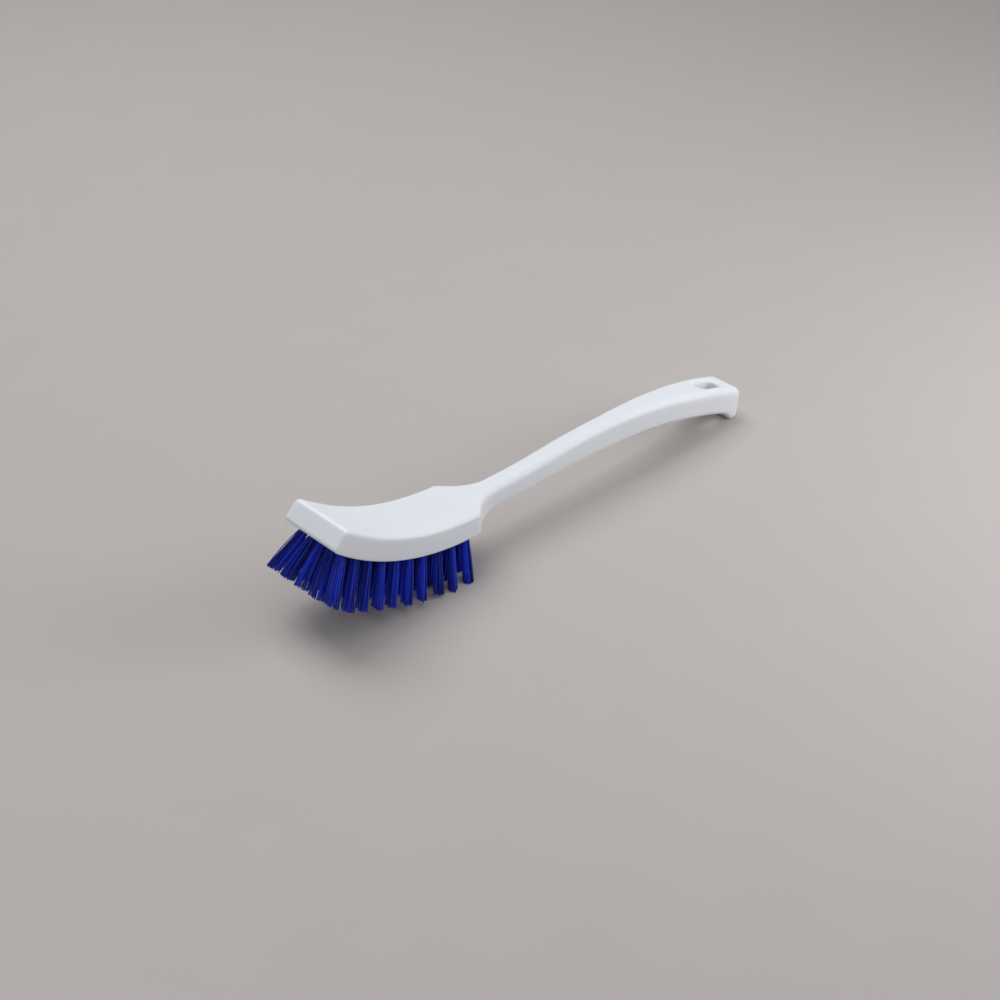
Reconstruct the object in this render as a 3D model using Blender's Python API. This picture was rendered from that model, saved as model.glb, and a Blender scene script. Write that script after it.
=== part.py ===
"""A long-handled cleaning brush, modelled in metres with +Z up and the handle along +X.

One moulding makes the curved block and the handle. Tufts of filament stand in blind holes in
the underside of the block. The brush lies as it lies on a table, on the trimmed ends of its
last row of tufts and on the foot of its handle. The origin is under the middle of the brush.

Along the block a place is an angle round the centre of the block's curve. Along the handle it
is a distance from the lowest point of that curve.
"""

from math import cos, pi, radians, sin, sqrt
from string import ascii_lowercase

import bmesh
import bpy
import numpy as np
from mathutils import Matrix, Vector

mm = 0.001

# Block
BLOCK_WIDTH = 42.2 * mm  # across the front
SHOULDER_TAPER = 3.0 * mm  # how much narrower the block is at the shoulder
BLOCK_DEPTH = 13.3 * mm
BLOCK_SWELL = 0.9 * mm  # how much thicker it is between its ends
BLOCK_ARC = 107.8 * mm  # along the underside, from the front face to the lowest point
TOP_RADIUS = 137.8 * mm  # of the hollow top of the block
TOP_EDGE = 2.2 * mm
UNDER_EDGE = 1.0 * mm
FRONT_EDGE = 2.2 * mm
FRONT_SIDE_SHARE = 0.45  # of that rounding, at the front's upright edges
FRONT_RAKE = 1.2 * mm  # how far the front face's lower edge stands forward
RAKE_RUN = 6 * mm  # along the block, over which the rake fades

# Shoulder, where the block narrows to the neck
SHOULDER_RUN = 3.0 * mm
SHOULDER_CORNER = 3.0 * mm
SHOULDER_FILLET = 31 * mm

# Handle
HANDLE_LENGTH = 232.1 * mm  # from the lowest point of the block to the end
NECK_WIDTH = 13.4 * mm
END_WIDTH = 25.4 * mm
GRIP_DEPTH = 16.5 * mm
GRIP_EDGE = 4.2 * mm
GRIP_UNDER_EDGE = 2.6 * mm
END_EDGE = 2.6 * mm
END_DRAFT = radians(6.5)
# Share of the length, then height of the top line as a share of its fall to the end
TOP_LINE_SHARES = (
    (0, 0),
    (0.129, -0.018),
    (0.249, 0.018),
    (0.385, 0.139),
    (0.522, 0.148),
    (0.659, 0.044),
    (0.796, -0.248),
    (0.899, -0.575),
    (1, -1),
)
# Share of the length, then depth as a share of the way from the block's to the grip's
DEPTH_SHARES = (
    (0, 0),
    (0.08, 0.10),
    (0.23, 0.11),
    (0.31, 0.27),
    (0.40, 0.67),
    (0.49, 0.95),
    (0.60, 0.90),
    (0.80, 0.90),
    (1, 1.49),
)
WIDENING_SHARE = 0.44  # where along the handle the grip starts to widen

# Foot and lip, under the end of the handle
LIP_DROP = 1.5 * mm
LIP_RUN = 11 * mm
FOOT_LENGTH = 3.0 * mm

# Hanging hole
HANG_LENGTH = 19 * mm
HANG_WIDTH = 9.6 * mm
HANG_WALL = 10.4 * mm  # from the hole to the end of the handle
HANG_EDGE = 2.8 * mm
HANG_EDGE_TURN = radians(68)  # how far round its rounded rim is drawn

# Tufts
TUFT_ROWS = 10
TUFT_COLUMNS = 5
HOLE_DEPTH = 6.0 * mm
HOLE_DIAMETER = 4.9 * mm
SIDE_WALL = 2.55 * mm  # of plastic outside the outer holes, at the shoulder
FRONT_MARGIN = 11.0 * mm  # along the underside, from the front face to the first row
HEEL_MARGIN = 5.4 * mm  # from the outer columns' last row to the lowest point of the block
HEEL_BULGE = 4.6 * mm  # how much nearer to it the middle column's last tuft is
BRISTLE_LENGTH = 23.8 * mm  # in the middle rows
FRONT_REACH = 3.4 * mm  # how much longer the first row is
HEEL_REACH = 0.7 * mm  # how much longer the last row is, as far as the floor lets it
FLOOR_CUT = 1.1 * mm  # how deep the last row is cut flat where the brush stands on it
TUFT_FLARE = 0.7 * mm  # how far its outer strands lean out at the trimmed end
FRONT_FLARE = 0.6 * mm  # how much further, in the first row
FRONT_LEAN = 0.8 * mm  # how much further forward the first row's tips lean
FRONT_ROWS = 3  # rows over which these two fade
STRANDS = 8
STRAND_GAP_SHARE = 0.07  # between the strands at their roots, of the hole's diameter
ROOT_PROUD = 1.0 * mm
UNEVEN = 0.5 * mm
UNEVEN_STEPS = (2.4, 1.7, 3.1)  # radians from row to row, column to column and strand to strand
FAN_SHARE = 1.63  # how much wider the tips spread than the holes, across the block
UPRIGHT_SHARE = 0.22  # where along the block the tufts stand square to it
LEAN_SHARE = 0.938  # how far the other rows' tips turn towards that place

CLEARANCE = 0.3 * mm
OVERRUN = 2 * mm

# Facets
BLOCK_STEPS = 15
SHOULDER_STEPS = 14
SHOULDER_CLOSENESS = 1.5  # above 1, the sections lie closer where the shoulder starts
GRIP_STEPS = 23
LIP_STEPS = 9
CORNER_STEPS = 4
HOLE_SIDES = 12
ROUND_END_STEPS = 6
LEAST_ROUND_SHARE = 0.25  # of a rounded edge, kept where an inset draws it in
UNDER_INSET_SHARE = 0.25  # how much less the end's rounding draws in the underside
SMOOTH_ANGLE = radians(35)


def white_plastic():
    return plastic("white_polypropylene", (0.80, 0.83, 0.87), 0.36)


def blue_plastic():
    return plastic("blue_filament", (0.012, 0.028, 0.42), 0.42)


def plastic(name, colour, roughness):
    material = bpy.data.materials.new(name)
    material.use_nodes = True
    shader = material.node_tree.nodes["Principled BSDF"]
    shader.inputs["Base Color"].default_value = (*colour, 1)
    shader.inputs["Roughness"].default_value = roughness
    shader.inputs["Metallic"].default_value = 0
    return material


def ease(share):
    """From 0 to 1 with level ends."""
    share = min(max(share, 0), 1)
    return share * share * (3 - 2 * share)


def soft_least(a, b, blend):
    """The lesser of two values, rounded where they are within blend of each other."""
    overlap = max(blend - abs(a - b), 0) / blend
    return min(a, b) - overlap * overlap * blend / 4


class SmoothLine:
    """A cubic spline through points, level at its first one and free at its last one."""

    def __init__(self, points):
        self.at, self.value = np.array(points, float).T
        step = np.diff(self.at)
        rise = np.diff(self.value) / step
        count = len(points)
        matrix = np.zeros((count, count))
        right = np.zeros(count)
        matrix[0, :2] = 2 * step[0], step[0]
        right[0] = 6 * rise[0]
        for i in range(1, count - 1):
            matrix[i, i - 1 : i + 2] = step[i - 1], 2 * (step[i - 1] + step[i]), step[i]
            right[i] = 6 * (rise[i] - rise[i - 1])
        matrix[-1, -1] = 1
        self.bend = np.linalg.solve(matrix, right)
        self.step = step

    def __call__(self, place):
        i = min(max(int(np.searchsorted(self.at, place)) - 1, 0), len(self.step) - 1)
        step = self.step[i]
        ahead = (self.at[i + 1] - place) / step
        past = (place - self.at[i]) / step
        bent = (ahead**3 - ahead) * self.bend[i] + (past**3 - past) * self.bend[i + 1]
        return float(ahead * self.value[i] + past * self.value[i + 1] + bent * step * step / 6)


# Heights, worked out from the tufts up
UNDER_RADIUS = TOP_RADIUS + BLOCK_DEPTH
TRIM_RADIUS = UNDER_RADIUS + BRISTLE_LENGTH
FRONT_ANGLE = -BLOCK_ARC / UNDER_RADIUS
UPRIGHT_ANGLE = FRONT_ANGLE * (1 - UPRIGHT_SHARE)
HEEL_TIP_ANGLE = UPRIGHT_ANGLE - LEAN_SHARE * (UPRIGHT_ANGLE + HEEL_MARGIN / UNDER_RADIUS)
CENTRE_HEIGHT = (TRIM_RADIUS + HEEL_REACH) * cos(HEEL_TIP_ANGLE) - FLOOR_CUT
LOW_HEIGHT = CENTRE_HEIGHT - TOP_RADIUS
TOP_LINE = SmoothLine(TOP_LINE_SHARES)
DEPTH_LINE = SmoothLine(DEPTH_SHARES)
SHOULDER_WIDTH = BLOCK_WIDTH - SHOULDER_TAPER
COLUMN_SPACING = (SHOULDER_WIDTH - 2 * SIDE_WALL - HOLE_DIAMETER) / (TUFT_COLUMNS - 1)
ROW_SPACING = (BLOCK_ARC - FRONT_MARGIN - HEEL_MARGIN) / (TUFT_ROWS - 1)
END_HEIGHT = BLOCK_DEPTH + (GRIP_DEPTH - BLOCK_DEPTH) * DEPTH_LINE(1) + LIP_DROP
FILLET_DROP = SHOULDER_FILLET - (SHOULDER_WIDTH - NECK_WIDTH) / 2
FILLET_RUN = sqrt(SHOULDER_FILLET**2 - FILLET_DROP**2)
NECK_START = SHOULDER_RUN + FILLET_RUN
END_SETBACK = END_HEIGHT * sin(END_DRAFT)
FOOT_START = HANDLE_LENGTH - END_SETBACK - FOOT_LENGTH
LIP_START = FOOT_START - LIP_RUN


def round_centre(angle, radius, across):
    """A place by its angle and radius round the centre of the block's curve."""
    return Vector((radius * sin(angle), across, CENTRE_HEIGHT - radius * cos(angle)))


def half_width(x):
    """Half the width of the block and the handle, x from the lowest point of the block."""
    behind = min(max(NECK_START - x, 0), SHOULDER_FILLET)
    fillet = SHOULDER_FILLET - sqrt(SHOULDER_FILLET**2 - behind**2)
    shoulder = soft_least(SHOULDER_WIDTH / 2, NECK_WIDTH / 2 + fillet, SHOULDER_CORNER)
    share = (x / HANDLE_LENGTH - WIDENING_SHARE) / (1 - WIDENING_SHARE)
    return shoulder + (END_WIDTH - NECK_WIDTH) / 2 * ease(share)


def top_height(x):
    return LOW_HEIGHT + (LOW_HEIGHT - END_HEIGHT) * TOP_LINE(x / HANDLE_LENGTH)


def under_height(x):
    """The underside of the handle, which the lip takes down to the foot."""
    depth = BLOCK_DEPTH + (GRIP_DEPTH - BLOCK_DEPTH) * DEPTH_LINE(x / HANDLE_LENGTH)
    lip = min(max((x - LIP_START) / LIP_RUN, 0), 1)
    return (top_height(x) - depth) * (1 - lip**3)


def rounded_outline(half, depth, top_round, under_round, inset=0, under_inset=0):
    """(across, down) points round a section with two pairs of rounded corners."""
    top_round = min(top_round, half) - inset * (1 - LEAST_ROUND_SHARE)
    under_round = min(under_round, half) - under_inset * (1 - LEAST_ROUND_SHARE)
    top_round = max(top_round, LEAST_ROUND_SHARE * TOP_EDGE)
    under_round = max(under_round, LEAST_ROUND_SHARE * UNDER_EDGE)
    points = []
    for side in (1, -1):
        corner = []
        for step in range(CORNER_STEPS + 1):
            turn = pi / 2 * step / CORNER_STEPS
            across = half - top_round * (1 - sin(turn))
            corner.append((side * across, inset + top_round * (1 - cos(turn))))
        for step in range(CORNER_STEPS + 1):
            turn = pi / 2 * step / CORNER_STEPS
            across = half - under_round * (1 - cos(turn))
            corner.append((side * across, depth - under_inset - under_round * (1 - sin(turn))))
        points += corner[::side]
    return points


def block_ring(behind, inset=0):
    """A section of the block, square to its curve, at a distance behind the front face."""
    half = (BLOCK_WIDTH - SHOULDER_TAPER * behind / BLOCK_ARC) / 2 - FRONT_SIDE_SHARE * inset
    swell = BLOCK_SWELL * (1 - (2 * behind / BLOCK_ARC - 1) ** 4)
    rake = FRONT_RAKE * max(1 - behind / RAKE_RUN, 0)
    depth = BLOCK_DEPTH + swell
    points = []
    for across, down in rounded_outline(half, depth, TOP_EDGE, UNDER_EDGE, inset, inset):
        angle = FRONT_ANGLE + (behind - rake * down / depth) / UNDER_RADIUS
        points.append(round_centre(angle, UNDER_RADIUS - depth + down, across))
    return points


def handle_ring(x, inset=0):
    """An upright section of the handle. Near the end it leans as the end face does."""
    share = ease(x / NECK_START)
    top_round = TOP_EDGE + (GRIP_EDGE - TOP_EDGE) * share
    under_round = UNDER_EDGE + (GRIP_UNDER_EDGE - UNDER_EDGE) * share
    lean = sin(END_DRAFT) * ease((x - LIP_START) / (FOOT_START - LIP_START))
    top = top_height(x)
    depth = top - under_height(x)
    drawn_in = inset * UNDER_INSET_SHARE
    outline = rounded_outline(half_width(x) - inset, depth, top_round, under_round, inset, drawn_in)
    return [Vector((x - lean * down, across, top - down)) for across, down in outline]


def edge_steps(radius, first):
    """(distance from the face, inset) down a rounded edge, from one side of it to the other."""
    turns = [pi / 2 * step / CORNER_STEPS for step in range(CORNER_STEPS + 1)]
    steps = [(radius * (1 - sin(turn)), radius * (1 - cos(turn))) for turn in turns]
    return steps[::-1] if first else steps


def handle_places():
    """Where the handle has its sections: closest at the shoulder, the lip and the foot."""
    shoulder = NECK_START * np.linspace(0, 1, SHOULDER_STEPS + 1) ** SHOULDER_CLOSENESS
    grip = np.linspace(NECK_START, LIP_START, GRIP_STEPS + 1)
    lip = np.linspace(LIP_START, FOOT_START, LIP_STEPS + 1)
    return [*shoulder[1:], *grip[1:], *lip[1:]]


def loft(rings, name):
    """A closed skin over a row of sections that all have as many points."""
    shape = bmesh.new()
    loops = [[shape.verts.new(point) for point in ring] for ring in rings]
    count = len(loops[0])
    for ahead, past in zip(loops, loops[1:]):
        for i in range(count):
            j = (i + 1) % count
            shape.faces.new((ahead[i], ahead[j], past[j], past[i]))
    shape.faces.new(loops[0])
    shape.faces.new(loops[-1])
    bmesh.ops.recalc_face_normals(shape, faces=shape.faces)
    return finished(shape, name)


def finished(shape, name):
    mesh = bpy.data.meshes.new(name)
    shape.to_mesh(mesh)
    shape.free()
    mesh.shade_smooth()
    mesh.set_sharp_from_angle(angle=SMOOTH_ANGLE)
    part = bpy.data.objects.new(name, mesh)
    bpy.context.collection.objects.link(part)
    return part


def cut(part, cutter):
    cutter.hide_render = True
    cutter.display_type = "WIRE"
    modifier = part.modifiers.new(cutter.name, "BOOLEAN")
    modifier.operation = "DIFFERENCE"
    modifier.solver = "EXACT"
    modifier.object = cutter


def handle_block(material):
    rings = [block_ring(behind, inset) for behind, inset in edge_steps(FRONT_EDGE, True)]
    for behind in np.linspace(FRONT_EDGE, BLOCK_ARC, BLOCK_STEPS + 1)[1:]:
        rings.append(block_ring(behind))
    rings += [handle_ring(x) for x in handle_places()]
    rings += [handle_ring(HANDLE_LENGTH - back, inset) for back, inset in edge_steps(END_EDGE, False)]
    part = loft(rings, "handle_block")
    part.data.materials.append(material)
    return part


def hanging_hole():
    """A slot with round ends whose edges follow the top and the underside of the handle."""
    round_end = HANG_WIDTH / 2
    straight = HANG_LENGTH / 2 - round_end
    middle = HANDLE_LENGTH - HANG_WALL - HANG_LENGTH / 2

    def slot(flare):
        for side in (1, -1):
            for step in range(ROUND_END_STEPS + 1):
                turn = pi * step / ROUND_END_STEPS - pi / 2
                reach = round_end + flare
                x = middle + side * (straight + reach * cos(turn))
                yield x, side * reach * sin(turn)

    flares = []
    for step in range(CORNER_STEPS):
        turn = HANG_EDGE_TURN * (1 - step / CORNER_STEPS)
        flares.append((HANG_EDGE * (1 - sin(turn)), HANG_EDGE * (1 - cos(turn))))
    widest = flares[0][1]
    rings = [[(x, y, top_height(x) + OVERRUN) for x, y in slot(widest)]]
    rings += [[(x, y, top_height(x) - deep) for x, y in slot(flare)] for deep, flare in flares]
    rings.append([(x, y, top_height(x) - HANG_EDGE) for x, y in slot(0)])
    rings.append([(x, y, under_height(x) + HANG_EDGE) for x, y in slot(0)])
    rings += [[(x, y, under_height(x) + deep) for x, y in slot(flare)] for deep, flare in flares[::-1]]
    rings.append([(x, y, under_height(x) - OVERRUN) for x, y in slot(widest)])
    return loft(rings, "hanging_hole_cutter")


def trim_radius(row):
    """The first rows and the last ones are longer than the middle ones."""
    share = 2 * row / (TUFT_ROWS - 1) - 1
    longer = FRONT_REACH if share < 0 else HEEL_REACH
    return TRIM_RADIUS + longer * share * share


def front_share(row):
    """From 1 at the first row to 0 a few rows behind it."""
    return max(1 - row / FRONT_ROWS, 0) ** 2


def row_place(row, column):
    """How far behind the front face a tuft stands. The inner columns spread on at the heel."""
    share = 2 * column / (TUFT_COLUMNS - 1)
    bulge = HEEL_BULGE * (1 - share * share) * row / (TUFT_ROWS - 1)
    return FRONT_MARGIN + row * ROW_SPACING + bulge


def tuft_frame(row, column):
    """Root of a tuft at the mouth of its hole, with Z along the tuft and X along the block."""
    across = column * COLUMN_SPACING
    angle = FRONT_ANGLE + row_place(row, column) / UNDER_RADIUS
    tip_angle = UPRIGHT_ANGLE + LEAN_SHARE * (angle - UPRIGHT_ANGLE)
    tip_angle -= FRONT_LEAN * front_share(row) / TRIM_RADIUS
    root = round_centre(angle, UNDER_RADIUS, across)
    tip = round_centre(tip_angle, trim_radius(row), FAN_SHARE * across)
    along = (tip - root).normalized()
    ahead = Vector((0, 1, 0)).cross(along).normalized()
    aside = along.cross(ahead)
    turn = Matrix((ahead, aside, along)).transposed().to_4x4()
    return Matrix.Translation(root) @ turn, (tip - root).length


def round_bar(shape, frame, radius, start, end, sides):
    """A closed bar along a frame's Z. Gives its faces."""
    middle = Matrix.Translation((0, 0, (start + end) / 2))
    made = bmesh.ops.create_cone(
        shape,
        cap_ends=True,
        segments=sides,
        radius1=radius,
        radius2=radius,
        depth=end - start,
        matrix=frame @ middle,
    )
    return list({face for vert in made["verts"] for face in vert.link_faces})


def tuft_holes(places):
    shape = bmesh.new()
    for row, column in places:
        frame, _ = tuft_frame(row, column)
        round_bar(shape, frame, HOLE_DIAMETER / 2, -HOLE_DEPTH, OVERRUN, HOLE_SIDES)
    return finished(shape, "tuft_holes_cutter")


def trimmed(base, tip, radius):
    """Where a strand from base through tip meets the trimming curve, or the floor before it."""
    run = tip - base
    x, z = base.x, base.z - CENTRE_HEIGHT
    square = run.x**2 + run.z**2
    middle = x * run.x + z * run.z
    reach = (-middle + sqrt(middle**2 - square * (x * x + z * z - radius**2))) / square
    if run.z < 0:
        reach = min(reach, -base.z / run.z)
    return base + run * reach


def tuft(row, column, letter, material):
    """A bundle fixed in its hole, whose end splits into wedge-shaped strands that spread."""
    frame, length = tuft_frame(row, column)
    root_radius = HOLE_DIAMETER / 2 - CLEARANCE
    shape = bmesh.new()
    bar = round_bar(shape, Matrix(), root_radius, CLEARANCE - HOLE_DEPTH, ROOT_PROUD, STRANDS)
    end = max(bar, key=lambda face: face.calc_center_median().z)
    wedges = bmesh.ops.poke(shape, faces=[end])["faces"]
    bmesh.ops.inset_individual(shape, faces=wedges, thickness=STRAND_GAP_SHARE * HOLE_DIAMETER / 2)
    flare = TUFT_FLARE + FRONT_FLARE * front_share(row)
    spread = (HOLE_DIAMETER / 2 + flare) / root_radius
    back = frame.inverted()
    for face in bmesh.ops.extrude_discrete_faces(shape, faces=wedges)["faces"]:
        middle = face.calc_center_median()
        turn = middle.x / middle.xy.length
        steps = UNEVEN_STEPS[0] * row + UNEVEN_STEPS[1] * abs(column) + UNEVEN_STEPS[2] * turn
        radius = trim_radius(row) + UNEVEN * sin(steps)
        for vert in face.verts:
            tip = Vector((vert.co.x * spread, vert.co.y * spread, length))
            vert.co = back @ trimmed(frame @ vert.co, frame @ tip, radius)
    part = finished(shape, f"tuft_row_{row + 1:02d}_{letter}")
    part.matrix_world = frame
    part.data.materials.append(material)
    return part


def centre_on_origin(parts):
    """Moves the whole brush so that the origin lies under the middle of its length."""
    bpy.context.view_layer.update()
    reach = [(part.matrix_world @ vert.co).x for part in parts for vert in part.data.vertices]
    brush = bpy.data.objects.new("brush", None)
    bpy.context.collection.objects.link(brush)
    everything = [thing for thing in bpy.context.collection.objects if thing != brush]
    for thing in everything:
        thing.parent = brush
    brush.location.x = -(min(reach) + max(reach)) / 2


def main():
    for thing in list(bpy.data.objects):
        bpy.data.objects.remove(thing)
    white = white_plastic()
    blue = blue_plastic()
    columns = [place - (TUFT_COLUMNS - 1) / 2 for place in range(TUFT_COLUMNS)]
    body = handle_block(white)
    cut(body, tuft_holes([(row, column) for row in range(TUFT_ROWS) for column in columns]))
    cut(body, hanging_hole())
    parts = [body]
    for row in range(TUFT_ROWS):
        parts += [tuft(row, column, letter, blue) for column, letter in zip(columns, ascii_lowercase)]
    centre_on_origin(parts)


main()
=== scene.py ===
"""The looks of a long-handled cleaning brush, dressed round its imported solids.

Metres, +Z up, the handle along +X, the brush lying on its last tufts and its foot. Places along
the block are distances behind its front face, round the centre of its curve. Places along the
handle are distances from the lowest point of that curve, as on the solids. The pieces follow in
the order of making: the moulding, then the tufts of filament in its holes.
"""

import bmesh
import bpy
import numpy as np
from mathutils import Matrix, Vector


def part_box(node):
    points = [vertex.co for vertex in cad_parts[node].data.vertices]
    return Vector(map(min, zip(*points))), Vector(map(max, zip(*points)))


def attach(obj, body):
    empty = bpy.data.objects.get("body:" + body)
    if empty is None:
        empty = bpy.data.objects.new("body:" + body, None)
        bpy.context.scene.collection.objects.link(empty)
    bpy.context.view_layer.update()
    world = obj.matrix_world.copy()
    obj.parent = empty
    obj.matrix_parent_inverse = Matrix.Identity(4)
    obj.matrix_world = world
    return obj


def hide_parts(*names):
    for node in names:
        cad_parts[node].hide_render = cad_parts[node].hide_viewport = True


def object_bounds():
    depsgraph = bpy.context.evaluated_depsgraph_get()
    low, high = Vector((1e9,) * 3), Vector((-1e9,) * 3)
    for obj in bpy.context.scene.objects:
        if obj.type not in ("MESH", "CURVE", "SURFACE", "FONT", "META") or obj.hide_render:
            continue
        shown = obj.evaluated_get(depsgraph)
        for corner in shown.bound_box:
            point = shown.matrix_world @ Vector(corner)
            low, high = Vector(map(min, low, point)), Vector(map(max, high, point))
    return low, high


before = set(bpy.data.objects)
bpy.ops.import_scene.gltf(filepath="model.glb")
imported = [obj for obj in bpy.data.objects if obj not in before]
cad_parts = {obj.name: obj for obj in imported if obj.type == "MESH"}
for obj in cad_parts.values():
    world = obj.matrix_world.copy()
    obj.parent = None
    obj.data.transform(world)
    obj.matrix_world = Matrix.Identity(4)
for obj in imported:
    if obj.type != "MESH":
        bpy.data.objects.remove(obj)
cad_low, cad_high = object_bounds()
mm = 0.001

# The moulding
# The block, the neck and the grip are one injection moulding of white polypropylene. The block
# is drilled for the tufts, and the end of the grip has a hanging hole and a foot to lie on.

# Block
BLOCK_WIDTH = 42.2 * mm  # across the front
SHOULDER_TAPER = 3.0 * mm  # how much narrower the block is at the shoulder
BLOCK_DEPTH = 13.3 * mm
BLOCK_SWELL = 0.9 * mm  # how much thicker it is between its ends
BLOCK_ARC = 107.8 * mm  # along the underside, from the front face to the lowest point
TOP_RADIUS = 137.8 * mm  # of the hollow top of the block
TOP_EDGE = 2.2 * mm
UNDER_EDGE = 1.0 * mm
FRONT_EDGE = 2.2 * mm
FRONT_SIDE_SHARE = 0.45  # of that rounding, at the front's upright edges
FRONT_RAKE = 1.2 * mm  # how far the front face's lower edge stands forward
RAKE_RUN = 6 * mm  # along the block, over which the rake fades

# Shoulder, where the block narrows to the neck
SHOULDER_RUN = 3.0 * mm
SHOULDER_CORNER = 3.0 * mm
SHOULDER_FILLET = 31 * mm

# Handle
HANDLE_LENGTH = 232.1 * mm  # from the lowest point of the block to the end
NECK_WIDTH = 13.4 * mm
END_WIDTH = 25.4 * mm
WIDENING_SHARE = 0.44  # where along the handle the grip starts to widen
GRIP_DEPTH = 16.5 * mm
GRIP_EDGE = 4.2 * mm
GRIP_UNDER_EDGE = 2.6 * mm
END_EDGE = 2.6 * mm
END_DRAFT = np.radians(6.5)
# Share of the length, then height of the top line as a share of its fall to the end
TOP_LINE_SHARES = (
    (0, 0),
    (0.129, -0.018),
    (0.249, 0.018),
    (0.385, 0.139),
    (0.522, 0.148),
    (0.659, 0.044),
    (0.796, -0.248),
    (0.899, -0.575),
    (1, -1),
)
# Share of the length, then depth as a share of the way from the block's to the grip's
DEPTH_SHARES = (
    (0, 0),
    (0.08, 0.10),
    (0.23, 0.11),
    (0.31, 0.27),
    (0.40, 0.67),
    (0.49, 0.95),
    (0.60, 0.90),
    (0.80, 0.90),
    (1, 1.49),
)

# Foot and lip, under the end of the handle
LIP_DROP = 1.5 * mm
LIP_RUN = 11 * mm
FOOT_LENGTH = 3.0 * mm

# Hanging hole
HANG_LENGTH = 19 * mm
HANG_WIDTH = 9.6 * mm
HANG_WALL = 10.4 * mm  # from the hole to the end of the handle
HANG_EDGE = 2.5 * mm

# The tufts' own sizes that the block's holes and its height follow
TUFT_ROWS = 10
TUFT_COLUMNS = 5
HOLE_DEPTH = 6.0 * mm
HOLE_DIAMETER = 4.9 * mm
HOLE_RIM = 0.25 * mm  # how far its edge is broken
SIDE_WALL = 2.55 * mm  # of plastic outside the outer holes, at the shoulder
FRONT_MARGIN = 11.0 * mm  # along the underside, from the front face to the first row
HEEL_MARGIN = 5.4 * mm  # from the outer columns' last row to the lowest point of the block
HEEL_BULGE = 4.6 * mm  # how much nearer to it the middle column's last tuft is
BRISTLE_LENGTH = 23.8 * mm  # in the middle rows
FRONT_REACH = 3.4 * mm  # how much longer the first row is
HEEL_REACH = 0.7 * mm  # how much longer the last row is, as far as the floor lets it
FLOOR_CUT = 1.1 * mm  # how deep the last row is cut flat where the brush stands on it
FAN_SHARE = 1.63  # how much wider the tips spread than the holes, across the block
FRONT_LEAN = 0.8 * mm  # how much further forward the first row's tips lean
FRONT_ROWS = 3  # rows over which the lean and the spread of the first fade
UPRIGHT_SHARE = 0.22  # where along the block the tufts stand square to it
LEAN_SHARE = 0.938  # how far the other rows' tips turn towards that place

# Closeness of the moulding's grid. A cell is the patch of it round one tuft hole.
CELL_ALONG = 4.6 * mm  # from the middle of the hole to the end of its cell
CELL_ACROSS = 3.35 * mm  # and to its side
CELL_STEPS_ALONG = 8
CELL_STEPS_ACROSS = 6
GRID_STEP = 1.3 * mm
SHOULDER_STEP = 0.7 * mm
ROUND_STEPS = 6
SIDE_STEPS = 8
WALL_STEPS = 8  # down the wall of the hanging hole
HANG_PATCH = (-13.5 * mm, 14.6 * mm)  # ends of the patch round the hanging hole, from its middle
WEAVE_SHARES = (0.35, 0.7, 1)  # of the way from such a patch's edge to the rim of its hole
BULGE_FADE = 13 * mm  # along the underside, over which the grid takes back the columns' spread
LEAST_ROUND_SHARE = 0.25  # of a rounded edge, kept where an inset draws it in
UNDER_INSET_SHARE = 0.25  # how much less the end's rounding draws in the underside
QUARTER = np.linspace(0, np.pi / 2, ROUND_STEPS + 1)  # angles round a rounded edge


def smooth_line(points):
    """The cubic spline through (place, value) points, level at the first and free at the last.

    Its bends at the points solve the usual three-band system, and between two points the value
    is the straight line through them plus each end's bend times a cubic of the distance.
    """
    at, value = np.array(points, float).T
    step = np.diff(at)
    rise = np.diff(value) / step
    inner = 2 * (step[:-1] + step[1:])
    matrix = np.diag([2 * step[0], *inner, 1])
    matrix += np.diag([step[0], *step[1:]], 1)
    matrix += np.diag([*step[:-1], 0], -1)
    bend = np.linalg.solve(matrix, [6 * rise[0], *(6 * np.diff(rise)), 0])

    def line(place):
        place = np.asarray(place, float)
        i = np.clip(np.searchsorted(at, place) - 1, 0, len(step) - 1)
        ahead = (at[i + 1] - place) / step[i]
        past = (place - at[i]) / step[i]
        bent = (ahead**3 - ahead) * bend[i] + (past**3 - past) * bend[i + 1]
        return ahead * value[i] + past * value[i + 1] + bent * step[i] ** 2 / 6

    return line


def ease(share):
    """From 0 to 1 with level ends: three squares less two cubes of the share."""
    share = np.clip(share, 0, 1)
    return share * share * (3 - 2 * share)


def soft_least(a, b, blend):
    """The lesser of two values, rounded by a parabola where they are within blend."""
    overlap = np.maximum(blend - np.abs(a - b), 0) / blend
    return np.minimum(a, b) - overlap * overlap * blend / 4


TOP_LINE = smooth_line(TOP_LINE_SHARES)
DEPTH_LINE = smooth_line(DEPTH_SHARES)
UNDER_RADIUS = TOP_RADIUS + BLOCK_DEPTH
TRIM_RADIUS = UNDER_RADIUS + BRISTLE_LENGTH
FRONT_ANGLE = -BLOCK_ARC / UNDER_RADIUS
UPRIGHT_ANGLE = FRONT_ANGLE * (1 - UPRIGHT_SHARE)
HEEL_TIP_ANGLE = UPRIGHT_ANGLE - LEAN_SHARE * (UPRIGHT_ANGLE + HEEL_MARGIN / UNDER_RADIUS)
CENTRE_HEIGHT = (TRIM_RADIUS + HEEL_REACH) * np.cos(HEEL_TIP_ANGLE) - FLOOR_CUT
LOW_HEIGHT = CENTRE_HEIGHT - TOP_RADIUS
SHOULDER_WIDTH = BLOCK_WIDTH - SHOULDER_TAPER
COLUMN_SPACING = (SHOULDER_WIDTH - 2 * SIDE_WALL - HOLE_DIAMETER) / (TUFT_COLUMNS - 1)
ROW_SPACING = (BLOCK_ARC - FRONT_MARGIN - HEEL_MARGIN) / (TUFT_ROWS - 1)
HOLE_RADIUS = HOLE_DIAMETER / 2
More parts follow.
